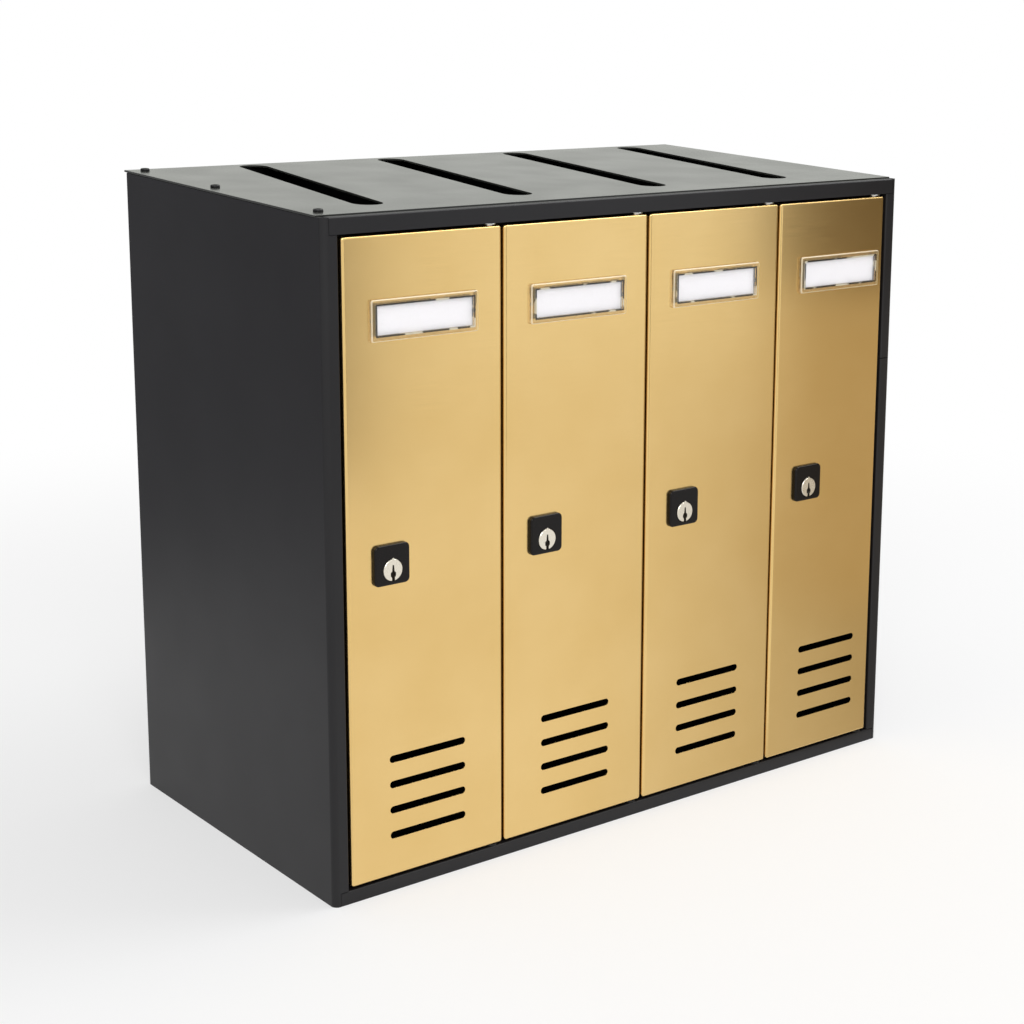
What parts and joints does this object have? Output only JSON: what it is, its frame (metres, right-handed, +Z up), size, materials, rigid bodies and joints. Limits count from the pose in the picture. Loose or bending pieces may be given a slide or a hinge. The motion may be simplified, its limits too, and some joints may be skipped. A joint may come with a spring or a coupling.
{
  "type": "mailbox unit",
  "caption": "Bank of tall letter boxes in one sheet-steel cabinet, with slanted letter slots in the roof and lockable doors that open at the front.",
  "frame": {"origin": "middle of the unit's underside, under the middle of its whole box", "axes": "+X to the right seen from the front, the longest way across; -Y to the front, where the doors are; +Z up"},
  "size_m": [0.456, 0.241, 0.4133],
  "materials": {
    "cabinet_powder_coat": "satin",
    "roof_gloss_coat": "gloss",
    "black_screw": "satin",
    "hinge_steel": "polished",
    "gold_door": "satin",
    "clear_window": "gloss",
    "name_card": "matte",
    "lock_plate": "gloss",
    "lock_nickel": "satin",
    "zinc_steel": "satin"
  },
  "bodies": {
    "cabinet": {"left_side_panel": "cabinet_powder_coat", "right_side_panel": "cabinet_powder_coat", "top_rail": "cabinet_powder_coat", "bottom_rail": "cabinet_powder_coat", "roof_panel": "roof_gloss_coat", "roof_screws": "black_screw", "floor_panel": "cabinet_powder_coat", "back_panel": "cabinet_powder_coat", "divider_1": "cabinet_powder_coat", "divider_2": "cabinet_powder_coat", "divider_3": "cabinet_powder_coat", "hinge_bushes_top": "hinge_steel", "hinge_bushes_bottom": "hinge_steel"},
    "door_1": {"door_1": "gold_door", "hinge_pins_1": "hinge_steel", "name_window_1": "clear_window", "name_card_1": "name_card", "lock_plate_1": "lock_plate", "lock_barrel_1": "lock_nickel", "lock_nut_1": "lock_nickel"},
    "lock_1": {"lock_plug_1": "lock_nickel", "lock_cam_1": "zinc_steel", "cam_screw_1": "zinc_steel"},
    "door_2": {"door_2": "gold_door", "hinge_pins_2": "hinge_steel", "name_window_2": "clear_window", "name_card_2": "name_card", "lock_plate_2": "lock_plate", "lock_barrel_2": "lock_nickel", "lock_nut_2": "lock_nickel"},
    "lock_2": {"lock_plug_2": "lock_nickel", "lock_cam_2": "zinc_steel", "cam_screw_2": "zinc_steel"},
    "door_3": {"door_3": "gold_door", "hinge_pins_3": "hinge_steel", "name_window_3": "clear_window", "name_card_3": "name_card", "lock_plate_3": "lock_plate", "lock_barrel_3": "lock_nickel", "lock_nut_3": "lock_nickel"},
    "lock_3": {"lock_plug_3": "lock_nickel", "lock_cam_3": "zinc_steel", "cam_screw_3": "zinc_steel"},
    "door_4": {"door_4": "gold_door", "hinge_pins_4": "hinge_steel", "name_window_4": "clear_window", "name_card_4": "name_card", "lock_plate_4": "lock_plate", "lock_barrel_4": "lock_nickel", "lock_nut_4": "lock_nickel"},
    "lock_4": {"lock_plug_4": "lock_nickel", "lock_cam_4": "zinc_steel", "cam_screw_4": "zinc_steel"}
  },
  "joints": [
    {"name": "door_1_hinge", "type": "hinge", "parent": "cabinet", "child": "door_1", "pos_m": [-0.1128, -0.11245, 0.2], "axis": [0, 0, 1], "range_deg": [0, 90]},
    {"name": "lock_1_turn", "type": "hinge", "parent": "door_1", "child": "lock_1", "pos_m": [-0.1867, -0.11745, 0.197], "axis": [0, 1, 0], "range_deg": [0, 90]},
    {"name": "door_2_hinge", "type": "hinge", "parent": "cabinet", "child": "door_2", "pos_m": [-0.0011, -0.11245, 0.2], "axis": [0, 0, 1], "range_deg": [0, 90]},
    {"name": "lock_2_turn", "type": "hinge", "parent": "door_2", "child": "lock_2", "pos_m": [-0.075, -0.11745, 0.197], "axis": [0, 1, 0], "range_deg": [0, 90]},
    {"name": "door_3_hinge", "type": "hinge", "parent": "cabinet", "child": "door_3", "pos_m": [0.1106, -0.11245, 0.2], "axis": [0, 0, 1], "range_deg": [0, 90]},
    {"name": "lock_3_turn", "type": "hinge", "parent": "door_3", "child": "lock_3", "pos_m": [0.0367, -0.11745, 0.197], "axis": [0, 1, 0], "range_deg": [0, 90]},
    {"name": "door_4_hinge", "type": "hinge", "parent": "cabinet", "child": "door_4", "pos_m": [0.21, -0.11245, 0.2], "axis": [0, 0, 1], "range_deg": [0, 90]},
    {"name": "lock_4_turn", "type": "hinge", "parent": "door_4", "child": "lock_4", "pos_m": [0.1484, -0.11745, 0.197], "axis": [0, 1, 0], "range_deg": [0, 90]}
  ]
}
